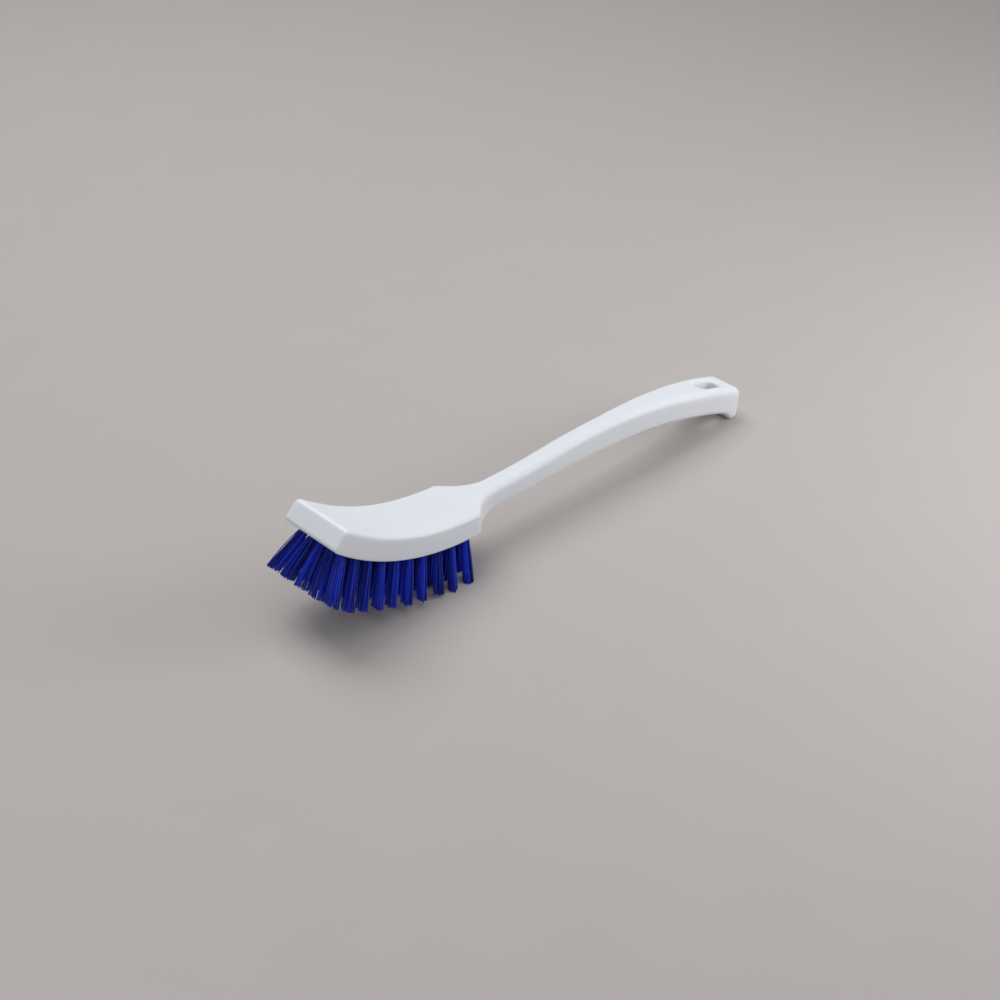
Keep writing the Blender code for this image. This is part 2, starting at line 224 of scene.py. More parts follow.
END_HEIGHT = BLOCK_DEPTH + (GRIP_DEPTH - BLOCK_DEPTH) * DEPTH_LINE(1) + LIP_DROP
FILLET_DROP = SHOULDER_FILLET - (SHOULDER_WIDTH - NECK_WIDTH) / 2
NECK_START = SHOULDER_RUN + np.sqrt(SHOULDER_FILLET**2 - FILLET_DROP**2)
FOOT_START = HANDLE_LENGTH - END_HEIGHT * np.sin(END_DRAFT) - FOOT_LENGTH
LIP_START = FOOT_START - LIP_RUN
HANG_MIDDLE = HANDLE_LENGTH - HANG_WALL - HANG_LENGTH / 2
# Where the lowest point of the curve lies in the frame, read from the end of the solid, which
# falls short of the handle's length by the rounding of its drafted edge
CURVE_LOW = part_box("handle_block")[1].x - HANDLE_LENGTH + np.sin(END_DRAFT) * END_EDGE


def place(x, across, height):
    """Points in the frame from places on the brush, as one array with xyz last."""
    return np.stack(np.broadcast_arrays(x + CURVE_LOW, across, height), -1).astype(float)


def round_place(angle, radius, across):
    """Points at an angle and a radius round the centre of the block's curve."""
    return place(radius * np.sin(angle), across, CENTRE_HEIGHT - radius * np.cos(angle))


def half_width(x):
    """Half the width: the shoulder's, cut down by a round fillet to the neck's, then eased out."""
    behind = np.clip(NECK_START - x, 0, SHOULDER_FILLET)
    fillet = SHOULDER_FILLET - np.sqrt(SHOULDER_FILLET**2 - behind**2)
    shoulder = soft_least(SHOULDER_WIDTH / 2, NECK_WIDTH / 2 + fillet, SHOULDER_CORNER)
    share = (x / HANDLE_LENGTH - WIDENING_SHARE) / (1 - WIDENING_SHARE)
    return shoulder + (END_WIDTH - NECK_WIDTH) / 2 * ease(share)


def top_height(x):
    """Height of the top line: the lowest point's, less its share of the fall to the end."""
    return LOW_HEIGHT + (LOW_HEIGHT - END_HEIGHT) * TOP_LINE(x / HANDLE_LENGTH)


def under_height(x):
    """The top line less the depth, brought down to the floor by a cube along the lip."""
    depth = BLOCK_DEPTH + (GRIP_DEPTH - BLOCK_DEPTH) * DEPTH_LINE(x / HANDLE_LENGTH)
    return (top_height(x) - depth) * (1 - np.clip((x - LIP_START) / LIP_RUN, 0, 1) ** 3)


cell_lines = np.linspace(-CELL_ACROSS, CELL_ACROSS, CELL_STEPS_ACROSS + 1)
tuft_columns = np.arange(TUFT_COLUMNS) - (TUFT_COLUMNS - 1) / 2
lattice_lines = (tuft_columns[:, None] * COLUMN_SPACING + cell_lines).ravel()
lattice_share = lattice_lines[-1] / (SHOULDER_WIDTH / 2 - UNDER_EDGE)


def outline(half, depth, top_round, under_round, inset=0, under_inset=0):
    """Sections as (across, down) arrays, one row each: flat top, corner, side, corner, underside.

    Corners are quarter circles. The flats are cut at the lines of the lattice of tuft holes,
    which draw together where the section is narrower than the lattice.
    """
    half, depth, top_round, under_round, inset, under_inset = (
        np.asarray(value, float)[..., None]
        for value in np.broadcast_arrays(half, depth, top_round, under_round, inset, under_inset)
    )
    top_round = np.minimum(top_round, half) - inset * (1 - LEAST_ROUND_SHARE)
    under_round = np.minimum(under_round, half) - under_inset * (1 - LEAST_ROUND_SHARE)
    top_round = np.maximum(top_round, LEAST_ROUND_SHARE * TOP_EDGE)
    under_round = np.maximum(under_round, LEAST_ROUND_SHARE * UNDER_EDGE)
    deep = depth - under_inset
    shares = lattice_lines / lattice_lines[-1]

    def flat(width, reach):
        return np.concatenate([-width, shares * reach, width], -1)

    top = flat(half - top_round, lattice_share * (half - top_round))
    under_reach = np.minimum(lattice_lines[-1], lattice_share * (half - under_round))
    under = flat(half - under_round, under_reach)
    corner_across = half - top_round * (1 - np.sin(QUARTER[1:]))
    corner_down = inset + top_round * (1 - np.cos(QUARTER[1:]))
    side = np.linspace(0, 1, SIDE_STEPS + 1)[1:-1]
    first, last = inset + top_round, deep - under_round
    side_down = first + (last - first) * side
    low_across = half - under_round * (1 - np.cos(QUARTER))
    low_down = deep - under_round * (1 - np.sin(QUARTER))
    right_across = np.concatenate([corner_across, half + 0 * side_down, low_across[..., :-1]], -1)
    right_down = np.concatenate([corner_down, side_down, low_down[..., :-1]], -1)
    across = [top, right_across, under[..., ::-1], -right_across[..., ::-1]]
    down = [inset + 0 * top, right_down, deep + 0 * under, right_down[..., ::-1]]
    return np.concatenate(across, -1), np.concatenate(down, -1)


def block_sections(behind, inset):
    """Sections square to the block's curve, at distances behind the front face.

    The block swells between its ends by a fourth power, and the front face is raked forward
    at its foot. Its upright edges are less rounded than its upper one.
    """
    half = (BLOCK_WIDTH - SHOULDER_TAPER * behind / BLOCK_ARC) / 2 - FRONT_SIDE_SHARE * inset
    depth = BLOCK_DEPTH + BLOCK_SWELL * (1 - (2 * behind / BLOCK_ARC - 1) ** 4)
    across, down = outline(half, depth, TOP_EDGE, UNDER_EDGE, inset, inset)
    behind, depth = behind[:, None], depth[:, None]
    rake = FRONT_RAKE * np.clip(1 - behind / RAKE_RUN, 0, 1) * down / depth
    angle = FRONT_ANGLE + (behind - rake) / UNDER_RADIUS
    return round_place(angle, UNDER_RADIUS - depth + down, across)


def lean_of(x):
    """How far a section leans per depth: the end face's draft, eased in along the lip."""
    return np.sin(END_DRAFT) * ease((x - LIP_START) / (FOOT_START - LIP_START))


def handle_sections(x, inset):
    """Upright sections of the handle, which come to lean as the end face does."""
    share = ease(x / NECK_START)
    top_round = TOP_EDGE + (GRIP_EDGE - TOP_EDGE) * share
    under_round = UNDER_EDGE + (GRIP_UNDER_EDGE - UNDER_EDGE) * share
    top = top_height(x)
    drawn_in = inset * UNDER_INSET_SHARE
    half = half_width(x) - inset
    across, down = outline(half, top - under_height(x), top_round, under_round, inset, drawn_in)
    return place(x[:, None] - lean_of(x)[:, None] * down, across, top[:, None] - down)


class Shell:
    """Points and faces collected from grids of points into one closed mesh."""

    def __init__(self):
        self.points = np.zeros((0, 3))
        self.faces = []

    def add(self, points):
        """Adds an array of points. Gives their numbers in an array of its shape."""
        points = np.asarray(points, float)
        first = len(self.points)
        self.points = np.concatenate([self.points, points.reshape(-1, 3)])
        return first + np.arange(points[..., 0].size).reshape(points.shape[:-1])

    def skin(self, rows, closed=False, skip=None):
        """Faces between each row of point numbers and the next, round and round if closed."""
        rows = np.asarray(rows)
        if closed:
            rows = np.concatenate([rows, rows[:, :1]], 1)
        corners = rows[:-1, :-1], rows[:-1, 1:], rows[1:, 1:], rows[1:, :-1]
        quads = np.stack(corners, -1)
        keep = np.ones(quads.shape[:2], bool) if skip is None else ~skip
        self.faces += quads[keep].tolist()

    def fan(self, ring, middle):
        """Faces from a ring of point numbers to one point."""
        self.faces += np.stack([ring, np.roll(ring, -1), np.full_like(ring, middle)], -1).tolist()

    def piece(self, name):
        """A smooth object of the faces, without unused points and with its faces outwards."""
        used = np.unique(np.concatenate([np.ravel(face) for face in self.faces]))
        number = np.zeros(len(self.points), int)
        number[used] = np.arange(len(used))
        mesh = bpy.data.meshes.new(name)
        mesh.from_pydata(self.points[used], [], [number[face].tolist() for face in self.faces])
        shape = bmesh.new()
        shape.from_mesh(mesh)
        bmesh.ops.recalc_face_normals(shape, faces=shape.faces)
        shape.to_mesh(mesh)
        shape.free()
        mesh.shade_smooth()
        thing = bpy.data.objects.new(name, mesh)
        bpy.context.collection.objects.link(thing)
        return thing


def edge_loop(block):
    """The numbers round a block of grid points, from its far corner back along its last column."""
    sides = block[::-1, -1], block[0, ::-1], block[:, 0], block[-1, :]
    return np.concatenate([side[:-1] for side in sides])


def slot_loop(straight, reach, along_steps, across_steps):
    """(x of the core, angle) round a slot, in step with the edge loop of a block of the grid.

    The core is the straight line between the centres of the round ends. Each quarter turn at
    an end faces one short side of the block, and the rest of the slot faces the long sides.
    """
    eighth = np.pi / 4 * reach
    run = np.linspace(0, 2 * eighth + 2 * straight, along_steps + 1)[:-1]
    core = np.clip(straight - (run - eighth), -straight, straight)
    turned = np.clip(run, 0, eighth) + np.clip(run - eighth - 2 * straight, 0, eighth)
    side_angle = np.pi / 4 + turned / reach
    end_angle = np.pi * 3 / 4 + np.linspace(0, np.pi / 2, across_steps + 1)[:-1]
    half_core = np.concatenate([core, np.full(across_steps, -straight)])
    half_angle = np.concatenate([side_angle, end_angle])
    return np.concatenate([half_core, -half_core]), np.concatenate([half_angle, half_angle + np.pi])


def weave(shell, loop, outer, rim, surface, deeper):
    """Joins a loop of the grid to a hole's rim by rings laid on the surface, then goes deeper.

    outer and rim are places on the surface for the loop and for the rim, and each ring
    between them is a share of the way from one to the other.
    """
    rows = [loop]
    for share in WEAVE_SHARES:
        rows.append(shell.add(surface(*((1 - share) * outer + share * rim))))
    rows += [shell.add(ring) for ring in deeper]
    shell.skin(rows, closed=True)
    return rows[-1]


def front_share(row):
    """From 1 at the first row to 0 a few rows behind it, by a square."""
    return max(1 - row / FRONT_ROWS, 0) ** 2


def bulge(column):
    """How much further a column reaches at the heel: most in the middle, by a square across."""
    return HEEL_BULGE * (1 - (2 * column / (TUFT_COLUMNS - 1)) ** 2)


def row_place(row, column):
    """How far behind the front face a tuft stands, each column in equal steps."""
    return FRONT_MARGIN + row * (ROW_SPACING + bulge(column) / (TUFT_ROWS - 1))


def tuft_axes(row, column):
    """Root of a tuft at the mouth of its hole, its three unit axes (ahead, aside, along), length.

    The root lies on the underside and the tip on the trimming curve. The tips lean less along
    the block than the roots' own places do, and fan out wider across it.
    """
    across = column * COLUMN_SPACING
    angle = FRONT_ANGLE + row_place(row, column) / UNDER_RADIUS
    tip_angle = UPRIGHT_ANGLE + LEAN_SHARE * (angle - UPRIGHT_ANGLE)
    tip_angle -= FRONT_LEAN * front_share(row) / TRIM_RADIUS
    root = round_place(angle, UNDER_RADIUS, across)
    tip = round_place(tip_angle, trim_radius(row), FAN_SHARE * across)
    length = np.linalg.norm(tip - root)
    along = (tip - root) / length
    ahead = np.cross([0, 1, 0], along)
    ahead /= np.linalg.norm(ahead)
    return root, ahead, np.cross(along, ahead), along, length


def trim_radius(row):
    """The trimming curve's radius, longer by a square towards the first rows and the last."""
    share = 2 * row / (TUFT_ROWS - 1) - 1
    longer = FRONT_REACH if share < 0 else HEEL_REACH
    return TRIM_RADIUS + longer * share * share


def spaced(start, end, step):
    """Places after start up to end, about a step apart."""
    return np.linspace(start, end, max(round((end - start) / step), 1) + 1)[1:]


# Distances of the block's sections behind the front face, cut at the lattice of tuft holes
edge_back = 1 - np.sin(QUARTER)
edge_inset = 1 - np.cos(QUARTER)
row_places = FRONT_MARGIN + np.arange(TUFT_ROWS) * ROW_SPACING  # of the outer columns
cells = row_places[:, None] + np.linspace(-CELL_ALONG, CELL_ALONG, CELL_STEPS_ALONG + 1)
behind = np.concatenate(
    [
        FRONT_EDGE * edge_back[::-1],
        spaced(FRONT_EDGE, cells[0, 0], GRID_STEP),
        cells.ravel()[1:],
        spaced(cells[-1, -1], BLOCK_ARC, GRID_STEP),
    ]
)
block_inset = np.zeros_like(behind)
block_inset[: ROUND_STEPS + 1] = FRONT_EDGE * edge_inset[::-1]

# Places of the handle's sections, cut where the hanging hole's patch starts and ends
patch_start, patch_end = (HANG_MIDDLE + reach for reach in HANG_PATCH)
patch = spaced(patch_start, patch_end, GRID_STEP)
along = np.concatenate(
    [
        spaced(0, NECK_START, SHOULDER_STEP),
        spaced(NECK_START, patch_start, GRID_STEP),
        patch,
        spaced(patch_end, FOOT_START, GRID_STEP),
        spaced(FOOT_START, HANDLE_LENGTH - END_EDGE, GRID_STEP),
        HANDLE_LENGTH - END_EDGE * edge_back[1:],
    ]
)
handle_inset = np.zeros_like(along)
handle_inset[-ROUND_STEPS:] = END_EDGE * edge_inset[1:]


def under_block(back, across):
    """The underside by distance behind the front face, carried on under the handle."""
    past = np.maximum(back - BLOCK_ARC, 0)
    block = round_place(FRONT_ANGLE + back / UNDER_RADIUS, UNDER_RADIUS, across)
    handle = place(past, across, under_height(past))
    return np.where(np.broadcast_to(past > 0, block.shape[:-1])[..., None], handle, block)


shell = Shell()
sections = np.concatenate(
    [block_sections(behind, block_inset), handle_sections(along, handle_inset)]
)
flats = len(lattice_lines) + 2
side_points = 2 * ROUND_STEPS + SIDE_STEPS - 1
top_part = slice(0, flats)
under_first = flats + side_points
under_part = slice(under_first, under_first + flats)

# The underside's lines slide along it with the columns that reach further at the heel
flow = np.concatenate([behind, BLOCK_ARC + along])
knots = [*cells[:, [0, -1]].ravel(), cells[-1, -1] + BULGE_FADE]
slide = np.interp(flow, knots, [*np.repeat(np.linspace(0, 1, TUFT_ROWS), 2), 0])
sliding = np.flatnonzero(slide)
for number, column in enumerate(tuft_columns):
    first_line = under_part.stop - 2 - number * (CELL_STEPS_ACROSS + 1)
    back = flow[sliding] + bulge(column) * slide[sliding]
    for line in range(first_line - CELL_STEPS_ACROSS, first_line + 1):
        line_across = np.interp(back, flow, sections[:, line, 1])
        sections[sliding, line] = under_block(back, line_across)

grid = shell.add(sections)
top_grid = grid[:, top_part]
under_grid = grid[:, under_part][:, ::-1]
left_out = np.zeros((len(grid) - 1, grid.shape[1]), bool)

# Holes for the tufts, drilled along them and a little broken at the rim
straight_ring = slot_loop(0, HOLE_RADIUS, CELL_STEPS_ALONG, CELL_STEPS_ACROSS)[1]
circle = np.stack([np.cos(straight_ring), np.sin(straight_ring)])
first_cell = ROUND_STEPS + len(spaced(FRONT_EDGE, cells[0, 0], GRID_STEP))

for row in range(TUFT_ROWS):
    start = first_cell + row * (CELL_STEPS_ALONG + 1)
    rings = slice(start, start + CELL_STEPS_ALONG + 1)
    for number, column in enumerate(tuft_columns):
        line = 1 + number * (CELL_STEPS_ACROSS + 1)
        lines = slice(line, line + CELL_STEPS_ACROSS + 1)
        last_line = under_part.stop - 1 - line
        left_out[start : start + CELL_STEPS_ALONG, last_line - CELL_STEPS_ACROSS : last_line] = True
        middle = row_place(row, column)
        centre = np.array([[middle], [column * COLUMN_SPACING]])
        back = (behind[rings] - row_places[row] + middle)[:, None]
        back, across = np.broadcast_arrays(back, column * COLUMN_SPACING + cell_lines)
        outer = np.stack([edge_loop(back), edge_loop(across)])
        root, _, _, axis, _ = tuft_axes(row, column)
        mouth_angle = FRONT_ANGLE + middle / UNDER_RADIUS
        ahead = np.array([np.cos(mouth_angle), 0, np.sin(mouth_angle)])
        mouth = root + HOLE_RADIUS * (circle[0][:, None] * ahead + circle[1][:, None] * [0, 1, 0])
        deeper = [mouth - HOLE_RIM * axis, mouth - HOLE_DEPTH * axis]
        rim = centre + (HOLE_RADIUS + HOLE_RIM) * circle
        loop = edge_loop(under_grid[rings, lines])
        bottom = weave(shell, loop, outer, rim, under_block, deeper)
        shell.fan(bottom, shell.add(root - HOLE_DEPTH * axis))

# The hanging hole, a slot with round ends and rounded rims through the end of the grip
past_start = int(np.searchsorted(along, patch_start + GRID_STEP / 4))  # clear of rounding
patch_first = len(behind) + past_start - 1
patch_rings = slice(patch_first, patch_first + len(patch) + 1)
patch_lines = slice(1, flats - 1)
for first in (0, under_first):
    left_out[patch_first : patch_first + len(patch), first + 1 : first + flats - 2] = True
straight = (HANG_LENGTH - HANG_WIDTH) / 2
hang_core, hang_angle = slot_loop(straight, HANG_WIDTH / 2 + HANG_EDGE, len(patch), flats - 3)


def hang_ring(flare):
    """Places round the hanging hole, drawn wider by flare."""
    reach = HANG_WIDTH / 2 + flare
    x = HANG_MIDDLE + hang_core + reach * np.cos(hang_angle)
    return np.stack([x, reach * np.sin(hang_angle)])


lean_places = along - lean_of(along) * (top_height(along) - under_height(along))


def top_of_grip(x, across):
    """The grip's top by place along it and across it."""
    return place(x, across, top_height(x))


def under_grip(x, across):
    """The grip's underside, read between its sections where these lean."""
    return place(x, across, np.interp(x, lean_places, under_height(along)))


turns = np.linspace(np.pi / 2, 0, ROUND_STEPS + 1)[1:]
rim_depths = HANG_EDGE * (1 - np.sin(turns))
rim_rings = [hang_ring(flare) for flare in HANG_EDGE * (1 - np.cos(turns))]
rim_ends = []
for face, surface, way in ((top_grid, top_of_grip, -1), (under_grid, under_grip, 1)):
    loop = edge_loop(face[patch_rings, patch_lines])
    outer = shell.points[loop][:, :2].T - [[CURVE_LOW], [0]]
    deeper = [surface(*ring) + [0, 0, way * deep] for deep, ring in zip(rim_depths, rim_rings)]
    rim_ends.append(weave(shell, loop, outer, hang_ring(HANG_EDGE), surface, deeper))
rim_top, rim_low = (shell.points[ring] for ring in rim_ends)
wall_shares = np.linspace(0, 1, WALL_STEPS + 1)[1:-1]
wall = [shell.add(rim_top + (rim_low - rim_top) * share) for share in wall_shares]
shell.skin([rim_ends[0], *wall, rim_ends[1]], closed=True)
shell.skin(grid, closed=True, skip=left_out)


def cap(shell, ring):
    """Closes a section by a grid between its top, its sides and its underside.

    Each inner point is the sum of its places between the two sides and between the top and
    the underside, less its place between the four corners.
    """
    top_row = ring[top_part]
    low_row = ring[under_part][::-1]
    right = np.concatenate([[ring[flats - 1]], ring[flats:under_first], [ring[under_first]]])
    last = under_part.stop - 1
    left = np.concatenate([[ring[0]], ring[last + 1 :][::-1], [ring[last]]])
    points = shell.points
    u = np.linspace(0, 1, flats)[None, :, None]
    v = np.linspace(0, 1, len(right))[:, None, None]
    between = (1 - u) * points[left][:, None] + u * points[right][:, None]
    between += (1 - v) * points[top_row] + v * points[low_row]
    between -= (1 - v) * ((1 - u) * points[left[0]] + u * points[right[0]])
    between -= v * ((1 - u) * points[left[-1]] + u * points[right[-1]])
    numbers = np.zeros((len(right), flats), int)
    numbers[0], numbers[-1], numbers[:, 0], numbers[:, -1] = top_row, low_row, left, right
    numbers[1:-1, 1:-1] = shell.add(between[1:-1, 1:-1])
    shell.skin(numbers)


cap(shell, grid[0])
cap(shell, grid[-1])
moulding = shell.piece("brush_moulding")


def wire(tree, start, end):
    """Links an output to an input."""
    tree.links.new(start, end)


def feed(tree, value, socket):
    """Gives a socket an output, a colour without its alpha, or a number."""
    if isinstance(value, bpy.types.NodeSocket):
        wire(tree, value, socket)
    elif isinstance(value, tuple):
        socket.default_value = (*value, 1)
    else:
        socket.default_value = value


def principled(name):
    """A new material, its tree of nodes, and its shader's inputs."""
    material = bpy.data.materials.new(name)
    material.use_nodes = True
    tree = material.node_tree
    return material, tree, tree.nodes["Principled BSDF"].inputs


def noise(tree, coordinates, scale, detail):
    """A noise from 0 to 1, by its scale to the metre and its detail."""
    node = tree.nodes.new("ShaderNodeTexNoise")
    node.inputs["Scale"].default_value = scale
    node.inputs["Detail"].default_value = detail
    wire(tree, coordinates, node.inputs["Vector"])
    return node.outputs["Fac"]


def ranged(tree, value, low, high):
    """Takes a value from 0 to 1 to one from low to high."""
    node = tree.nodes.new("ShaderNodeMapRange")
    node.inputs["To Min"].default_value = low
    node.inputs["To Max"].default_value = high
    wire(tree, value, node.inputs["Value"])
    return node.outputs["Result"]


def mixed(tree, share, first, second):
    """A colour between two, by a share from 0 to 1."""
    node = tree.nodes.new("ShaderNodeMix")
    node.data_type = "RGBA"
    for socket, value in (("Factor", share), ("A", first), ("B", second)):
        feed(tree, value, node.inputs[socket])
    return node.outputs["Result"]


# The darkest and the lightest of each, and each noise's scale to the metre with its detail
WHITE_TONES = (0.80, 0.825, 0.87), (0.82, 0.845, 0.885)
WHITE_ROUGHNESS = 0.34, 0.46
WHITE_CLOUD = 26, 3
WHITE_SHEEN = 90, 4
WHITE_GRAIN = 1700, 2
GRAIN_STRENGTH = 0.25
GRAIN_DEPTH = 0.04 * mm
SCATTER_SHARE = 0.7
SCATTER_RADII = (1.0, 1.0, 1.0)
SCATTER_DEPTH = 3 * mm


def white_plastic():
    """Satin polypropylene that lets in a little light, slightly clouded and finely grained."""
    material, tree, inputs = principled("white_polypropylene")
    on_piece = tree.nodes.new("ShaderNodeTexCoord").outputs["Object"]
    cloud = noise(tree, on_piece, *WHITE_CLOUD)
    grain = noise(tree, on_piece, *WHITE_GRAIN)
    sheen = noise(tree, on_piece, *WHITE_SHEEN)
    wire(tree, mixed(tree, cloud, *WHITE_TONES), inputs["Base Color"])
    wire(tree, ranged(tree, sheen, *WHITE_ROUGHNESS), inputs["Roughness"])
    inputs["Subsurface Weight"].default_value = SCATTER_SHARE
    inputs["Subsurface Radius"].default_value = SCATTER_RADII
    inputs["Subsurface Scale"].default_value = SCATTER_DEPTH
    bump = tree.nodes.new("ShaderNodeBump")
    bump.inputs["Strength"].default_value = GRAIN_STRENGTH
    bump.inputs["Distance"].default_value = GRAIN_DEPTH
    wire(tree, grain, bump.inputs["Height"])
    wire(tree, bump.outputs["Normal"], inputs["Normal"])
    return material


moulding.data.materials.append(white_plastic())
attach(moulding, "root")
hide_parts("handle_block")

# The tufts
# Each is a bundle of drawn polyester filaments in its hole. Their tips draw together in clumps
# and are trimmed to one curve, and where the brush lies on its heel they end level on the table.

FILAMENTS = 66
FILAMENT_DIAMETER = 0.5 * mm
FILAMENT_SIDES = 6
FILAMENT_SHARES = (0, 0.16, 0.4, 0.7, 1)  # of the way from root to tip, where the rings are
LIFT_SHARE = 0.35  # of half a filament, that a cut end's low side hangs down
IN_HOLE = 4.0 * mm  # how deep the filaments are drawn in their hole
ROOT_GAP = 0.02 * mm  # between the outer filaments and the wall of the hole
FLOOR_GAP = 0.03 * mm
TIP_RADIUS = 3.4 * mm  # of a tuft at its trimmed end
INNER_TIP_RADIUS = 4.1 * mm  # behind the near column and the first row
FRONT_FLARE = 1.2 * mm  # how much wider the first row spreads, fading behind it
FLARE_POWER = 0.8  # below 1, the filaments spread early
FRONT_FLARE_POWER = 0.55  # of the first row
SWAY = 0.25 * mm  # of a whole tuft's tips
STRAY = 0.2 * mm  # of one filament's tip
BOW = 0.3 * mm  # of one filament, halfway along it
FRAY = 0.4 * mm  # how much longer or shorter a filament may be
LONG_FRAY = 1.4 * mm  # from the shortest to the longest of the few that differ more
CLUMPS = 9
CLUMP_SHARE = 0.32  # how far a clump's filaments draw together at their tips
TONE_SPREAD = 0.28  # how much darker or lighter a clump may be
# How far the tips of the near column's tufts lean back, row by row, and how much longer they are
NEAR_LEANS = np.array((0.7, 0, -0.3, -0.5, -1.2, -0.9, -0.4, 1.1, 0.7, 0.5)) * mm
NEAR_LENGTHS = np.array((-0.8, 0.8, 1.0, 0.5, 0.5, 0.5, 0, -0.3, 0, 1.0)) * mm
GOLDEN_TURN = np.pi * (3 - np.sqrt(5))
SEED = 41

chance = np.random.default_rng(SEED)
tips_low = np.array(cad_low[:2]) + FILAMENT_DIAMETER / 2
tips_high = np.array(cad_high[:2]) - FILAMENT_DIAMETER / 2


def filament_ends(base, run, radius):
    """Where lines from base along run meet the trimming curve, or the floor before it.

    The reach solves the quadratic for a point of the line at the radius round the curve.
    """
    x = base[:, 0] - CURVE_LOW
    z = base[:, 2] - CENTRE_HEIGHT
    square = run[:, 0] ** 2 + run[:, 2] ** 2
    middle = x * run[:, 0] + z * run[:, 2]
    reach = (np.sqrt(middle**2 - square * (x * x + z * z - radius**2)) - middle) / square
    lowest = FLOOR_GAP + FILAMENT_DIAMETER / 2 * LIFT_SHARE
    floor = np.where(run[:, 2] < 0, (lowest - base[:, 2]) / run[:, 2], reach)
    return base + run * np.minimum(reach, floor)[:, None]


def packed_roots():
    """Places of a tuft's filaments in a circle of radius 1, packed by the golden turn."""
    number = np.arange(FILAMENTS)
    out = np.sqrt((number + 0.5) / FILAMENTS)
    turn = number * GOLDEN_TURN + chance.uniform(0, 2 * np.pi)
    return out[:, None] * np.stack([np.cos(turn), np.sin(turn)], -1)


def clumped_tips(packed, radius):
    """The same places at the tips, drawn to their clumps' seeds, and each filament's clump.

    The tuft sways as one, each filament strays by itself, and none leaves the radius.
    """
    seeds = packed[chance.choice(FILAMENTS, CLUMPS, replace=False)]
    clump = np.linalg.norm(packed[:, None] - seeds, axis=2).argmin(1)
    at_tip = radius * (packed + CLUMP_SHARE * (seeds[clump] - packed))
    at_tip += chance.normal(0, SWAY, 2) + chance.normal(0, STRAY, (FILAMENTS, 2))
    at_tip *= np.minimum(1, radius / np.linalg.norm(at_tip, axis=1))[:, None]
    return at_tip, clump


def filament_paths(row, column):
    """Paths of a tuft's filaments, the two axes across it, and each filament's clump.

    A path starts in the hole and runs along the tuft. It leans out by a power of the distance
    and bows sideways by a half sine. Ends stay inside the box of the solids.
    """
    root, ahead, aside, axis, length = tuft_axes(row, column)
    axes = np.stack([ahead, aside])
    near = column == tuft_columns[0]
    inner = row > 0 and not near
    tip_radius = INNER_TIP_RADIUS if inner else TIP_RADIUS + FRONT_FLARE * front_share(row)
    packed = packed_roots()
    at_root = packed * (HOLE_RADIUS - ROOT_GAP - FILAMENT_DIAMETER / 2)
    at_tip, clump = clumped_tips(packed, tip_radius)
    longer = 0
    if near:
        at_tip[:, 0] -= NEAR_LEANS[row]
        longer = NEAR_LENGTHS[row]
    base = root + at_root @ axes
    run = axis * length + (at_tip - at_root) @ axes
    fray = chance.uniform(-FRAY, FRAY, FILAMENTS)
    fray += LONG_FRAY / 2 * (2 * chance.random(FILAMENTS) - 1) ** 3
    end = filament_ends(base, run, trim_radius(row) + longer + fray)
    end[:, :2] = np.clip(end[:, :2], tips_low, tips_high)
    reach = (end - base) @ axis
    lean = end - base - reach[:, None] * axis
    bow = chance.normal(0, BOW, (FILAMENTS, 2)) @ axes
    share = np.array(FILAMENT_SHARES)[None, :, None]
    power = FLARE_POWER + (FRONT_FLARE_POWER - FLARE_POWER) * front_share(row)
    path = base[:, None] + reach[:, None, None] * share * axis + lean[:, None] * share**power
    path += bow[:, None] * np.sin(np.pi * share)
    return np.concatenate([base[:, None] - IN_HOLE * axis, path], 1), axes, clump


def bar_faces(numbers):
    """Faces of closed bars, from point numbers by bar, ring and side: the sides, then the ends."""
    wrapped = np.concatenate([numbers, numbers[:, :, :1]], 2)
    corners = wrapped[:, :-1, :-1], wrapped[:, :-1, 1:], wrapped[:, 1:, 1:], wrapped[:, 1:, :-1]
    sides = np.stack(corners, -1).reshape(-1, 4).tolist()
    return sides + numbers[:, -1].tolist() + numbers[:, 0, ::-1].tolist()


def tuft(row, column, name, material):
    """A bundle of bars, each a ring of points carried along its filament's own path.

    Each filament has its own shade, near that of its clump. The cut ends are flat.
    """
    path, axes, clump = filament_paths(row, column)
    around = np.linspace(0, 2 * np.pi, FILAMENT_SIDES, endpoint=False)
    ring = FILAMENT_DIAMETER / 2 * np.stack([np.cos(around), np.sin(around)], -1) @ axes
    points = path[:, :, None] + ring
    numbers = np.arange(points[..., 0].size).reshape(points.shape[:3])
    faces = bar_faces(numbers)
    mesh = bpy.data.meshes.new(name)
    mesh.from_pydata(points.reshape(-1, 3), [], faces)
    mesh.shade_smooth()
    ends = np.zeros(len(faces), bool)
    ends[-2 * FILAMENTS :] = True
    mesh.polygons.foreach_set("use_smooth", ~ends)
    tone = chance.uniform(-TONE_SPREAD, TONE_SPREAD, CLUMPS)[clump]
    tone = np.clip(tone + chance.random(FILAMENTS), 0, 1)
    shade = mesh.attributes.new("shade", "FLOAT", "POINT")
    shade.data.foreach_set("value", np.repeat(tone, numbers[0].size))
    mesh.materials.append(material)
    thing = bpy.data.objects.new(name, mesh)
    bpy.context.collection.objects.link(thing)
    return thing


BLUE_TONES = (0.003, 0.010, 0.13), (0.014, 0.050, 0.88)
BLUE_ROUGHNESS = 0.26, 0.40
BLUE_SHINE = 0.35


def blue_plastic():
    """Glossy filament in a tone of its own, from dark to light by its shade."""
    material, tree, inputs = principled("blue_filament")
    attribute = tree.nodes.new("ShaderNodeAttribute")
    attribute.attribute_name = "shade"
    shade = attribute.outputs["Fac"]
    wire(tree, mixed(tree, shade, *BLUE_TONES), inputs["Base Color"])
    wire(tree, ranged(tree, shade, *BLUE_ROUGHNESS), inputs["Roughness"])
    inputs["Specular IOR Level"].default_value = BLUE_SHINE
    return material


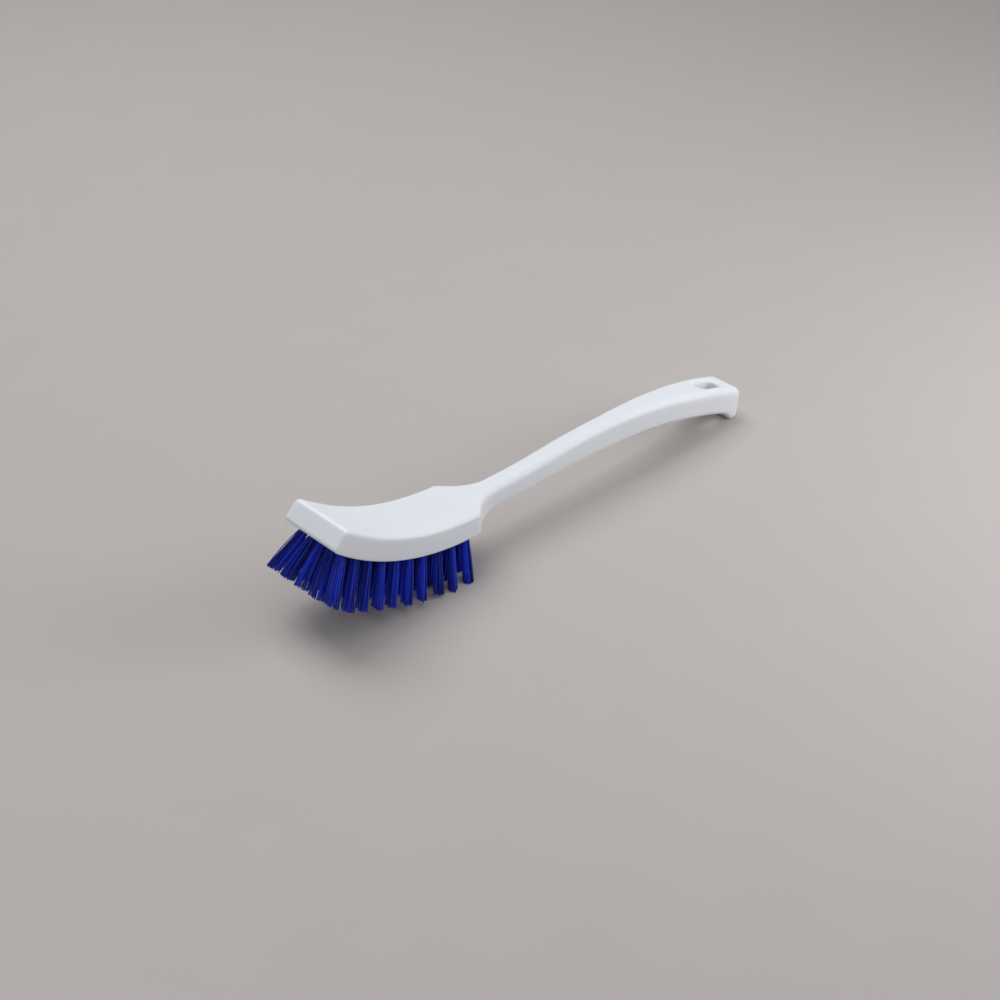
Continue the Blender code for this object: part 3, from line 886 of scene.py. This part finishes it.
blue = blue_plastic()
for row in range(TUFT_ROWS):
    for column, letter in zip(tuft_columns, "abcde"):
        node = f"tuft_row_{row + 1:02d}_{letter}"
        bundle = tuft(row, column, f"filaments_{row + 1:02d}_{letter}", blue)
        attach(bundle, "root")
        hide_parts(node)

# The table, the lights and the camera
# A pale table, lit softly from above and behind, with weak fills on the right and the left.

TABLE_HALF = 6.0
TABLE_TONES = (0.494, 0.458, 0.432), (0.530, 0.492, 0.464)
TABLE_GRAIN = 620, 3
TABLE_CLOUD = 22, 4
TABLE_ROUGHNESS = 0.9
TABLE_SHINE = 0.1
SKY_TONE = (0.93, 0.96, 1.0)
SKY_STRENGTH = 0.2
LAMP_TONE = (0.97, 0.98, 1.0)
# Name, place, aim, side of the lit square, and power in watts
LAMPS = (
    ("key", (0.05, 0.8, 1.4), (0, 0, 0), 1.1, 14),
    ("overhead", (0, -0.2, 1.6), (0, 0, 0), 1.5, 6),
    ("right_fill", (0.5, -0.5, 0.32), (0.12, 0, 0.02), 0.4, 2.6),
    ("left_fill", (-0.7, -0.1, 0.35), (-0.1, 0, 0.03), 0.5, 0.5),
)
# As fitted to the edges in the photo, from the lowest point of the block's curve
CAMERA_PLACE = (CURVE_LOW - 0.54943, -0.60936, 0.59051)
CAMERA_TURN = np.radians(46.17)
CAMERA_DIP = np.radians(34.02)
CAMERA_ROLL = np.radians(0.387)
CAMERA_LENS = 64.8
CAMERA_SENSOR = 36


def table_card():
    """Matt card, evenly mixed of a fine grain and a slight cloud."""
    material, tree, inputs = principled("table_card")
    on_table = tree.nodes.new("ShaderNodeTexCoord").outputs["Object"]
    grain = mixed(tree, noise(tree, on_table, *TABLE_GRAIN), *TABLE_TONES)
    cloud = mixed(tree, noise(tree, on_table, *TABLE_CLOUD), *TABLE_TONES)
    wire(tree, mixed(tree, 0.5, grain, cloud), inputs["Base Color"])
    inputs["Roughness"].default_value = TABLE_ROUGHNESS
    inputs["Specular IOR Level"].default_value = TABLE_SHINE
    return material


def softbox(name, at, aim, size, power):
    """A square light turned from its place to its aim."""
    light = bpy.data.lights.new(name, "AREA")
    light.shape = "SQUARE"
    light.size = size
    light.energy = power
    light.color = LAMP_TONE
    lamp = bpy.data.objects.new(name, light)
    away = np.array(at, float) - aim
    side = np.cross([0, 1, 0], away)
    side /= np.linalg.norm(side)
    away /= np.linalg.norm(away)
    pose = np.eye(4)
    pose[:3, :3] = np.stack([side, np.cross(away, side), away], -1)
    pose[:3, 3] = at
    lamp.matrix_world = Matrix(pose.tolist())
    bpy.context.collection.objects.link(lamp)


floor_mesh = bpy.data.meshes.new("table")
floor_corners = [(-TABLE_HALF, -TABLE_HALF, 0), (TABLE_HALF, -TABLE_HALF, 0)]
floor_corners += [(TABLE_HALF, TABLE_HALF, 0), (-TABLE_HALF, TABLE_HALF, 0)]
floor_mesh.from_pydata(floor_corners, [], [(0, 1, 2, 3)])
floor_mesh.materials.append(table_card())
floor = bpy.data.objects.new("table", floor_mesh)
bpy.context.collection.objects.link(floor)

scene = bpy.context.scene
world = bpy.data.worlds.new("studio")
world.use_nodes = True
sky = world.node_tree.nodes["Background"].inputs
sky["Color"].default_value = (*SKY_TONE, 1)
sky["Strength"].default_value = SKY_STRENGTH
scene.world = world
for lamp in LAMPS:
    softbox(*lamp)

camera = bpy.data.objects.new("camera", bpy.data.cameras.new("camera"))
bpy.context.collection.objects.link(camera)
camera.data.lens = CAMERA_LENS
camera.data.sensor_width = CAMERA_SENSOR
camera.matrix_world = (
    Matrix.Translation(CAMERA_PLACE)
    @ Matrix.Rotation(CAMERA_TURN - np.pi / 2, 4, "Z")
    @ Matrix.Rotation(np.pi / 2 - CAMERA_DIP, 4, "X")
    @ Matrix.Rotation(CAMERA_ROLL, 4, "Z")
)
scene.camera = camera
scene.view_settings.view_transform = "Standard"
